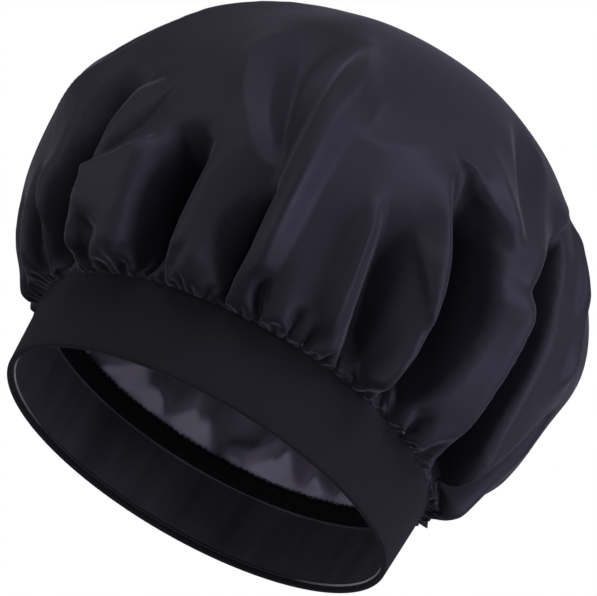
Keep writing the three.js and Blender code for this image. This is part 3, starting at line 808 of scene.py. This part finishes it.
# Pleats of the lining that hang inwards, as the folds above: places, half widths and height
LINING_FOLDS = curves(3, [
    (127, 0.03, 126, 0.14, 125, 0.28, 5, 8, 6),
    (119, 0.03, 118, 0.15, 116, 0.3, 6, 9, 8),
    (108.5, 0.03, 108, 0.16, 106, 0.32, 6, 9, 8),
    (99, 0.03, 98, 0.17, 97, 0.33, 6, 9, 9),
    (91, 0.03, 90, 0.2, 88, 0.36, 6, 10, 8),
    (79, 0.1, 74, 0.2, 69, 0.3, 6, 9, 4),
    (69, 0.03, 66.5, 0.13, 68, 0.27, 5, 5, 8),
    (57, 0.03, 58, 0.14, 65, 0.27, 5, 6, 8),
    (47, 0.03, 46, 0.15, 44, 0.3, 6, 9, 8),
])


def lining_slack(form, angle, share):
    """The lining hangs a little inside the crown, in folds of its own."""
    slack = np.full(len(form), LINING_SLACK)
    for places, first_width, last_width, height in LINING_FOLDS:
        near, across, _, place = fold_field(form, angle, places, first_width, last_width)
        slack[near] += height * fold_ends(place, False) * np.exp(-across ** 2)
    loose = random_folds(form, angle, **LOOSE_FOLDS)
    middle, reach = LINING_SEEN
    seen = np.exp(-(np.abs(angle - middle) / reach) ** 4)
    slack -= np.minimum(loose, 0) * (1 - seen)
    for *_, near, groove, _ in deep_folds(form, angle, LINING_DEEP_WIDTH, leant=False):
        slack[near] += LINING_DEEP_SLACK * groove
    return slack * smoothstep(share, 0.02, 0.1)


def least_near(field, aside, up):
    """The least value within so many columns and rows, blurred as far."""
    least = field.copy()
    for k in range(-aside, aside + 1):
        least = np.minimum(least, around(field, 0, k))
    lowest = least.copy()
    for k in range(-up, up + 1):
        lowest = np.minimum(lowest, around(least, k, 0))
    return blur(lowest[..., None], aside, up)[..., 0]


def lowest_cloth(points, form, normal):
    """How far the crown stands out over each place of its form, where it folds over itself the
    inmost of its layers."""
    rows, columns, _ = form.shape
    round_it = (np.roll(form, -1, 1) - np.roll(form, 1, 1)) / 2
    up = np.gradient(form, axis=0)
    offset = points - form
    proud = dot(offset, normal)[..., 0]
    aside, raised = (
        (dot(offset, way) / np.maximum(dot(way, way), 1e-10))[..., 0] for way in (round_it, up))
    aside = np.clip(aside, -columns / 16, columns / 16)
    row = np.clip(np.rint(np.arange(rows)[:, None] + raised), 0, rows - 1).astype(int)
    column = np.rint(np.arange(columns)[None, :] + aside).astype(int) % columns
    lowest = np.full((rows, columns), np.inf)
    np.minimum.at(lowest, (row, column), proud)
    return np.where(np.isinf(lowest), proud, lowest)


def crown_lining(outside, form, normal, material):
    columns, rows = CROWN_GRID
    angle, share = grid_places(columns, rows)
    proud = lowest_cloth(outside, form, normal)
    root = np.maximum(smoothstep(share, 0, FOLD_ROOT_SHARE) ** FOLD_ROOT_POWER, 0.02)
    slack = lining_slack(form.reshape(-1, 3), angle.ravel(), share.ravel()).reshape(share.shape)
    level = root * least_near(proud / root, columns // 120, rows // 60)
    points = form + normal * (level - LINING_INSET - slack)[..., None]
    points[..., 2] += LINING_LIFT * (1 - smoothstep(share, 0, 0.03))
    points = keep_off_seam(points, SEAM_INSET - LINING_INSET)
    made = grid_object("crown_lining_cloth", points, cut_places(), pointed=True)
    dress(made, material, "crown_lining")
    gathered_disc(made, LINING_FABRIC)


def swept(name, section, count, ripple=None):
    """Sweeps corners (inset, height) round the oval."""
    angle = turns(count)
    corners = np.array(section)
    inset = np.repeat(corners[:, 0][:, None], count, 1)
    height = np.repeat(corners[:, 1][:, None], count, 1)
    if ripple is not None:
        inset = inset + ripple(angle[None, :], height)
    points = oval_point(angle[None, :], inset, height)
    steps = np.linalg.norm(np.diff(corners, axis=0), axis=1)
    along = np.concatenate([[0], np.cumsum(steps)])
    uv = flat_places(angle[None, :] * RIM_RADIUS, along[:, None])
    return grid_object(name, points[::-1], uv[::-1], closed_rows=True)


def arc(inset, height, radius, start, end, steps):
    bearing = np.radians(np.linspace(start, end, steps + 1))
    return [(inset + radius * math.cos(b), height + radius * math.sin(b)) for b in bearing]


def straight(a, b, steps):
    t = np.linspace(0, 1, steps + 1)
    return [(mixed(a[0], b[0], k), mixed(a[1], b[1], k)) for k in t]


def band_cloth(material):
    lip = WALL - BAND_FABRIC
    section = (
        straight((0, BAND_HEIGHT), (0, RIM_ROUNDING), 12)
        + arc(RIM_ROUNDING, RIM_ROUNDING, RIM_ROUNDING, 180, 270, 5)[1:]
        + arc(WALL - RIM_ROUNDING, RIM_ROUNDING, RIM_ROUNDING, 270, 360, 5)
        + [(WALL, RIM_LIP_HEIGHT), (lip, RIM_LIP_HEIGHT), (lip, BAND_FABRIC)]
        + [(BAND_FABRIC, BAND_FABRIC)]
        + straight((BAND_FABRIC, 0.003), (BAND_FABRIC, BAND_HEIGHT), 10)
    )
    made = swept("band_cloth", section, BAND_COUNT)
    dress(made, material, "band_shell")


def facing_ripple(angle, height):
    """Slight upright puckers in the facing."""
    foot = np.clip((height - 0.004) / 0.006, 0, 1)
    head = np.clip((BAND_HEIGHT - 0.002 - height) / 0.004, 0, 1)
    wave = (np.cos(31 * angle + 1.1 * np.sin(5 * angle))
            + 0.6 * np.cos(53 * angle + 2 * np.sin(3 * angle))
            + 0.5 * np.cos(17 * angle + 0.7) - 2.1)
    return -FACING_PUCKER * foot * head * wave


def band_facing(material, edge_material):
    edge = WALL - FACING_FABRIC + FACING_EDGE_RADIUS
    bottom = RIM_LIP_HEIGHT + CLEARANCE + FACING_EDGE_RADIUS
    top = BAND_HEIGHT - FACING_EDGE_RADIUS
    section = (
        arc(edge, bottom, FACING_EDGE_RADIUS, 180, 450, 12)
        + straight((WALL, bottom + 0.001), (WALL, top - 0.001), 14)
        + arc(edge, top, FACING_EDGE_RADIUS, -90, 180, 12)
        + straight((WALL - FACING_FABRIC, top - 0.0005), (WALL - FACING_FABRIC, bottom + 0.0005), 10)
    )
    made = swept("band_facing_cloth", section, BAND_COUNT, ripple=facing_ripple)
    dress(made, material, "band_facing")
    made.data.materials.append(edge_material)
    for face in made.data.polygons:
        height = face.center.z
        face.material_index = int(height < bottom + FACING_EDGE_RADIUS or height > top)


def band_elastic(material):
    """The ribbed strip inside the band, open at +X."""
    inside = ELASTIC_INSET + ELASTIC_THICKNESS
    rise = np.linspace(0, ELASTIC_HEIGHT, 4 * ELASTIC_RIBS + 1)
    rib = ELASTIC_RIB * (1 - np.cos(TURN * rise * ELASTIC_RIBS / ELASTIC_HEIGHT))
    insets = np.concatenate([ELASTIC_INSET + rib, (inside - rib)[::-1]])
    heights = ELASTIC_INSET + np.concatenate([rise, rise[::-1]])
    angle = np.linspace(GAP_TURN / 2, TURN - GAP_TURN / 2, 361)
    points = oval_point(angle[:, None], insets[None, :], heights[None, :])
    middle = points.mean(axis=1, keepdims=True)
    points = np.concatenate([np.repeat(middle[:1], points.shape[1], 1), points,
                             np.repeat(middle[-1:], points.shape[1], 1)])
    along = np.concatenate([[angle[0]], angle, [angle[-1]]]) * RIM_RADIUS
    uv = flat_places(along[:, None], heights[None, :])
    made = grid_object("band_elastic_strip", points, uv)
    dress(made, material, "band_elastic")


def seam_wave(angle):
    """Uneven ruffles, between -1 and 1."""
    return (0.55 * np.cos(60 * angle + 0.9 * np.sin(7 * angle))
            + 0.3 * np.cos(37 * angle + 1.7 * np.sin(5 * angle) + 1)
            + 0.15 * np.cos(101 * angle + 2))


def seam_inset(angle, rise):
    share = rise / SEAM_HEIGHT
    return SEAM_INSET + SEAM_LEAN * share + SEAM_RUFFLE * share * (1 + seam_wave(angle))


def seam_edges(material):
    """The raw edges of crown, lining and band, in three layers that stand up inside."""
    angle = turns(SEAM_COUNT)
    random = np.random.default_rng(17)
    rise = np.linspace(0, 1, 9)
    outer = [(0.0, share) for share in rise[::-1]]
    inner = [(1.0, share) for share in rise * 0.95]
    layers = [(0.7, 0.95), (0.66, 1.0), (0.36, 1.0), (0.33, 0.97), (0.04, 0.97)]
    rows = []
    for depth, share in outer + inner + layers:
        ragged = 0.0003 * (random.random(SEAM_COUNT) - 1) * (share > 0.9)
        height = share * SEAM_HEIGHT + ragged
        inset = seam_inset(angle, height) + depth * SEAM_THICKNESS
        rows.append(oval_point(angle, inset, GATHER_LINE + height))
    points = np.array(rows)
    uv = flat_places(angle[None, :] * RIM_RADIUS, np.linspace(0, 0.02, len(rows))[:, None])
    made = grid_object("seam_edges", points[::-1], uv[::-1], closed_rows=True)
    dress(made, material, "seam_allowance")


def smooth_path(path, closed, steps):
    """Rounded curve through the points of a path."""
    path = np.array(path)
    if closed:
        path = np.concatenate([path[-1:], path, path[:2]])
    else:
        path = np.concatenate([path[:1], path, path[-1:]])
    t = (np.arange(steps) / steps)[None, :, None]
    a, b, c, d = (path[k:len(path) - 3 + k, None] for k in range(4))
    curve = 0.5 * (2 * b + (c - a) * t + (2 * a - 5 * b + 4 * c - d) * t ** 2
                   + (3 * b - a - 3 * c + d) * t ** 3)
    curve = curve.reshape(-1, 3)
    return curve if closed else np.concatenate([curve, path[-1:]])


def thread(name, path, closed, material, node):
    """A round thread along a path."""
    before, after = np.roll(path, 1, 0), np.roll(path, -1, 0)
    if not closed:
        before[0], after[-1] = path[0], path[-1]
    along = unit(after - before)
    outward = (path - MIDDLE) * np.array([1, 1, 0])
    across = unit(np.cross(along, outward))
    proud = np.cross(across, along)
    bearing = -turns(THREAD_SIDES)
    size = np.full(len(path), THREAD_RADIUS)
    if not closed:
        size[[0, -1]] = 0
    ring = (across[:, None] * np.cos(bearing)[None, :, None]
            + proud[:, None] * np.sin(bearing)[None, :, None])
    points = path[:, None] + ring * size[:, None, None]
    run = np.concatenate([[0], np.cumsum(np.linalg.norm(np.diff(path, axis=0), axis=1))])
    uv = flat_places(run[:, None], (THREAD_RADIUS * -bearing)[None, :])
    dress(grid_object(name, points, uv, closed_rows=closed), material, node)


def stitch_count(pitch):
    return round(TURN * (RIM_RADIUS + BAND_FLARE) / pitch)


def overlock_stitches(material):
    count = stitch_count(OVERLOCK_PITCH)
    start = turns(count)
    quarter = TURN / (4 * count)
    low, head = SEAM_HEIGHT - OVERLOCK_BITE, SEAM_HEIGHT
    face = SEAM_THICKNESS + THREAD_SEAT

    def place(angle, rise, depth, lift=0.0):
        return oval_point(angle, seam_inset(angle, rise) + depth, GATHER_LINE + rise + lift)

    path = np.stack([
        place(start, low, face),
        place(start + quarter, head * 0.97, face),
        place(start + 2 * quarter, head, 0.5 * SEAM_THICKNESS, THREAD_SEAT),
        place(start + 3 * quarter, head * 0.97, face),
    ], 1).reshape(-1, 3)
    thread("overlock_stitches", smooth_path(path, True, 4), True, material, "overlock_thread")


def gather_stitches(material):
    count = 2 * stitch_count(GATHER_PITCH)
    angle = turns(count)
    depth = SEAM_THICKNESS + THREAD_SEAT + GATHER_RIPPLE * (np.arange(count) % 2)
    inset = seam_inset(angle, GATHER_ROW_HEIGHT) + depth
    path = oval_point(angle, inset, GATHER_LINE + GATHER_ROW_HEIGHT)
    thread("gather_stitches", smooth_path(path, True, 3), True, material, "gather_thread")


def elastic_join(material):
    reach = GAP_TURN / 2 - THREAD_SEAT * GAP_TURN / ELASTIC_GAP
    strokes = round(ELASTIC_HEIGHT / JOIN_PITCH)
    side = np.where(np.arange(strokes + 1) % 2, reach, -reach)
    height = ELASTIC_INSET + ELASTIC_HEIGHT * np.arange(strokes + 1) / strokes
    path = smooth_path(oval_point(side, ELASTIC_INSET + ELASTIC_THICKNESS / 2, height), False, 6)
    thread("elastic_join_stitches", path, False, material, "elastic_join_thread")


LAVENDER = (0.8, 0.76, 1.0, 1.0)


class Cloth:
    """A cloth material from procedural nodes."""

    def __init__(self, name, roughness, specular, sheen=0.0, sheen_roughness=0.45):
        self.material = bpy.data.materials.new(name)
        self.material.use_nodes = True
        self.tree = self.material.node_tree
        self.shader = self.tree.nodes["Principled BSDF"]
        self.roughness = roughness
        settings = {
            "Roughness": roughness, "Specular IOR Level": specular,
            "Sheen Weight": sheen, "Sheen Roughness": sheen_roughness,
            "Sheen Tint": LAVENDER, "Specular Tint": LAVENDER,
        }
        for key, value in settings.items():
            self.shader.inputs[key].default_value = value
        self.place = self.node("ShaderNodeTexCoord").outputs["Object"]
        self.cut = self.node("ShaderNodeUVMap", uv_map="cut").outputs["UV"]
        self.normal = None

    def node(self, kind, inputs=None, **settings):
        made = self.tree.nodes.new(kind)
        for key, value in settings.items():
            setattr(made, key, value)
        for key, value in (inputs or {}).items():
            if isinstance(value, bpy.types.NodeSocket):
                self.tree.links.new(value, made.inputs[key])
            else:
                made.inputs[key].default_value = value
        return made

    def scaled(self, vector, *scale):
        return self.node("ShaderNodeMapping", {"Vector": vector, "Scale": scale}).outputs[0]

    def noise(self, vector, scale, detail=2.0, rough=0.5):
        inputs = {"Vector": vector, "Scale": scale, "Detail": detail, "Roughness": rough}
        return self.node("ShaderNodeTexNoise", inputs).outputs[0]

    def bands(self, vector, pitch, direction, distortion=0.0):
        inputs = {"Vector": vector, "Scale": 0.31416 / pitch, "Distortion": distortion}
        made = self.node("ShaderNodeTexWave", inputs, wave_type="BANDS", bands_direction=direction)
        return made.outputs["Fac"]

    def math(self, operation, a, b):
        return self.node("ShaderNodeMath", {0: a, 1: b}, operation=operation).outputs[0]

    def spread(self, value, low, high, to_low, to_high):
        inputs = {"Value": value, "From Min": low, "From Max": high,
                  "To Min": to_low, "To Max": to_high}
        return self.node("ShaderNodeMapRange", inputs).outputs[0]

    def colours(self, factor, dark, light, low=0.35, high=0.65):
        factor = self.spread(factor, low, high, 0.0, 1.0)
        mix = self.node("ShaderNodeMix", data_type="RGBA")
        self.tree.links.new(factor, mix.inputs[0])
        mix.inputs[6].default_value = (*dark, 1)
        mix.inputs[7].default_value = (*light, 1)
        self.tree.links.new(mix.outputs[2], self.shader.inputs["Base Color"])

    def rough(self, factor, change):
        value = self.spread(factor, 0.3, 0.7, self.roughness - change, self.roughness + change)
        self.tree.links.new(value, self.shader.inputs["Roughness"])

    def bump(self, height, depth, strength=1.0):
        inputs = {"Height": height, "Distance": depth, "Strength": strength}
        if self.normal is not None:
            inputs["Normal"] = self.normal
        self.normal = self.node("ShaderNodeBump", inputs).outputs[0]
        self.tree.links.new(self.normal, self.shader.inputs["Normal"])

    def weave(self, pitch, depth):
        """Plain weave of the cut cloth's two threads."""
        warp = self.bands(self.cut, pitch, "X")
        weft = self.bands(self.cut, pitch, "Y")
        self.bump(self.math("ADD", warp, weft), depth)


def crown_material():
    cloth = Cloth("crown_satin", 0.54, 0.45, 0.3, 0.35)
    mottle = cloth.noise(cloth.place, 16, 3, 0.6)
    cloth.colours(mottle, (0.0105, 0.0095, 0.0145), (0.0155, 0.014, 0.021))
    cloth.rough(cloth.noise(cloth.place, 34, 2), 0.06)
    cloth.bump(cloth.noise(cloth.place, 38, 2, 0.4), 0.0012, 0.35)
    cloth.bump(cloth.noise(cloth.cut, 210, 3), 0.00006)
    cloth.weave(0.0005, 0.00002)
    return cloth.material


def lining_material():
    cloth = Cloth("lining_satin", 0.42, 0.6, 0.2)
    mottle = cloth.noise(cloth.place, 22, 3, 0.6)
    # Partly painted light: a lighter lilac satin, with its colour raised further to stand in for
    # light reaching inside through the opening
    cloth.colours(mottle, (0.27, 0.243, 0.35), (0.36, 0.33, 0.46))
    cloth.rough(mottle, 0.05)
    cloth.bump(cloth.noise(cloth.place, 55, 2, 0.4), 0.0012, 0.5)
    cloth.weave(0.0004, 0.00001)
    return cloth.material


def knit_material():
    cloth = Cloth("band_knit", 0.85, 0.2, 0.06, 0.6)
    mottle = cloth.noise(cloth.place, 45, 4, 0.65)
    fuzz = cloth.noise(cloth.place, 1400, 2)
    blend = cloth.math("MULTIPLY", cloth.math("ADD", mottle, fuzz), 0.5)
    cloth.colours(blend, (0.009, 0.0087, 0.0108), (0.0135, 0.013, 0.016))
    cloth.rough(mottle, 0.05)
    wale = cloth.bands(cloth.cut, 0.0011, "X", 0.4)
    course = cloth.bands(cloth.cut, 0.0008, "Y", 0.3)
    cloth.bump(cloth.math("MULTIPLY", wale, course), 0.00009)
    cloth.bump(fuzz, 0.00004)
    return cloth.material


def facing_material():
    cloth = Cloth("facing_satin", 0.48, 0.45, 0.1)
    streak = cloth.noise(cloth.scaled(cloth.cut, 1, 0.09, 1), 60, 4, 0.6)
    cloth.colours(streak, (0.027, 0.028, 0.036), (0.052, 0.053, 0.066))
    cloth.rough(cloth.noise(cloth.scaled(cloth.cut, 1, 0.12, 1), 110, 3), 0.1)
    cloth.bump(streak, 0.0006, 0.6)
    cloth.weave(0.0005, 0.00002)
    return cloth.material


def facing_edge_material():
    """The facing's turned edges, with a painted highlight: lighter near the bottom and towards the
    rim's two ends, made patchy by noise.
    """
    cloth = Cloth("facing_edge", 0.45, 0.4, 0.0)
    parts = cloth.node("ShaderNodeSeparateXYZ", {0: cloth.place})
    ends = cloth.spread(cloth.math("ABSOLUTE", parts.outputs["X"], 0.0), 0.068, 0.094, 0.0, 1.0)
    low = cloth.spread(parts.outputs["Z"], 0.006, 0.01, 1.0, 0.12)
    glint_patchiness = cloth.spread(cloth.noise(cloth.cut, 90, 3), 0.3, 0.7, 0.6, 1.0)
    # Painted highlight: the glint along the turned edges, brightest at the two ends and low down
    painted_glint = cloth.math("MULTIPLY", cloth.math("MULTIPLY", ends, low), glint_patchiness)
    cloth.colours(painted_glint, (0.02, 0.02, 0.025), (0.6, 0.6, 0.62), 0.0, 1.0)
    return cloth.material


def elastic_material():
    cloth = Cloth("elastic_webbing", 0.85, 0.3, 0.3, 0.6)
    cloth.colours(cloth.noise(cloth.cut, 500, 3), (0.012, 0.012, 0.014), (0.022, 0.022, 0.025))
    cloth.weave(0.0007, 0.00006)
    return cloth.material


def raw_edge_material():
    cloth = Cloth("raw_edges", 0.95, 0.1, 0.0)
    fuzz = cloth.noise(cloth.place, 900, 4, 0.7)
    cloth.colours(fuzz, (0.004, 0.004, 0.005), (0.012, 0.012, 0.015))
    cloth.bump(fuzz, 0.00025)
    return cloth.material


def thread_material():
    cloth = Cloth("spun_thread", 0.8, 0.1, 0.0)
    ply = cloth.bands(cloth.cut, 0.0005, "DIAGONAL")
    cloth.colours(ply, (0.004, 0.004, 0.005), (0.012, 0.012, 0.014), 0, 1)
    cloth.bump(ply, 0.00008)
    return cloth.material


def picture_axes():
    """Right, up and towards the viewer, as the camera sees them."""
    back = Vector((
        math.sin(CAMERA_AZIMUTH) * math.cos(CAMERA_ELEVATION),
        -math.cos(CAMERA_AZIMUTH) * math.cos(CAMERA_ELEVATION),
        math.sin(CAMERA_ELEVATION),
    ))
    level = Vector((math.cos(CAMERA_AZIMUTH), math.sin(CAMERA_AZIMUTH), 0))
    upright = back.cross(level)
    right = level * math.cos(CAMERA_ROLL) + upright * math.sin(CAMERA_ROLL)
    up = upright * math.cos(CAMERA_ROLL) - level * math.sin(CAMERA_ROLL)
    return right, up, back


LAMP_DISTANCE = 1.5
LAMP_SIZE = 0.6
LAMP_AIM = Vector((0, 0, 0.11))
WHITE = (1.0, 1.0, 1.0)
COOL = (0.88, 0.84, 1.0)
# Name, way to it in the picture (right, up, towards the viewer), watts and colour
LAMPS = [
    ("right_top", (0.8, 0.8, 0.4), 6, COOL),
    ("right", (1.0, 0.1, 0.4), 3, COOL),
    ("right_low", (1.0, -0.4, 0.55), 6, COOL),
    ("low_right", (0.8, -0.8, 0.4), 2, COOL),
    ("top", (0.0, 1.0, 0.35), 3, WHITE),
    ("left_top", (-0.8, 0.8, 0.4), 1.5, WHITE),
    ("left", (-1.0, 0.2, 0.0), 1.5, WHITE),
    ("front", (0.0, -0.3, 1.0), 1.8, WHITE),
    ("left_front", (-0.7, 0.2, 0.7), 2.2, WHITE),
]
WORLD_STRENGTH = 0.12
FLOOR_HALF = 3.0


def make_lights():
    axes = picture_axes()
    for name, towards, power, colour in LAMPS:
        data = bpy.data.lights.new(name, "AREA")
        data.shape = "DISK"
        data.size = LAMP_SIZE
        data.energy = power
        data.color = colour
        lamp = placed(name, data)
        away = sum((axis * share for axis, share in zip(axes, towards)), Vector()).normalized()
        lamp.location = LAMP_AIM + away * LAMP_DISTANCE
        lamp.rotation_euler = away.to_track_quat("Z", "Y").to_euler()


def make_world():
    """White behind the object, and a weak even light."""
    world = bpy.data.worlds.new("world")
    bpy.context.scene.world = world
    world.use_nodes = True
    nodes, links = world.node_tree.nodes, world.node_tree.links
    nodes.clear()
    light = nodes.new("ShaderNodeBackground")
    light.inputs["Color"].default_value = (1, 1, 1, 1)
    light.inputs["Strength"].default_value = WORLD_STRENGTH
    seen = nodes.new("ShaderNodeBackground")
    seen.inputs["Color"].default_value = (1, 1, 1, 1)
    mix = nodes.new("ShaderNodeMixShader")
    path = nodes.new("ShaderNodeLightPath")
    output = nodes.new("ShaderNodeOutputWorld")
    links.new(path.outputs["Is Camera Ray"], mix.inputs["Fac"])
    links.new(light.outputs[0], mix.inputs[1])
    links.new(seen.outputs[0], mix.inputs[2])
    links.new(mix.outputs[0], output.inputs["Surface"])


def make_floor():
    """A pale floor at the rim's level, clear when seen from beneath."""
    mesh = bpy.data.meshes.new("floor")
    corners = [(x * FLOOR_HALF, y * FLOOR_HALF, 0) for x, y in ((-1, -1), (1, -1), (1, 1), (-1, 1))]
    mesh.from_pydata(corners, [], [(0, 1, 2, 3)])
    floor = placed("floor", mesh)
    material = bpy.data.materials.new("floor")
    material.use_nodes = True
    nodes, links = material.node_tree.nodes, material.node_tree.links
    shader = nodes["Principled BSDF"]
    shader.inputs["Base Color"].default_value = (0.8, 0.8, 0.8, 1)
    shader.inputs["Roughness"].default_value = 0.9
    clear = nodes.new("ShaderNodeBsdfTransparent")
    side = nodes.new("ShaderNodeNewGeometry")
    mix = nodes.new("ShaderNodeMixShader")
    links.new(side.outputs["Backfacing"], mix.inputs["Fac"])
    links.new(shader.outputs[0], mix.inputs[1])
    links.new(clear.outputs[0], mix.inputs[2])
    links.new(mix.outputs[0], nodes["Material Output"].inputs["Surface"])
    mesh.materials.append(material)
    for way in ("shadow", "diffuse", "glossy"):
        setattr(floor, "visible_" + way, False)


bpy.context.scene.view_settings.view_transform = "Standard"
make_camera()
make_world()
make_lights()
make_floor()
crown = crown_points(flatten_panels(settle_crown()))
outer_crown(crown[0], crown_material())
crown_lining(*crown, lining_material())
band_cloth(knit_material())
band_facing(facing_material(), facing_edge_material())
band_elastic(elastic_material())
seam_edges(raw_edge_material())
stitching = thread_material()
overlock_stitches(stitching)
gather_stitches(stitching)
elastic_join(stitching)
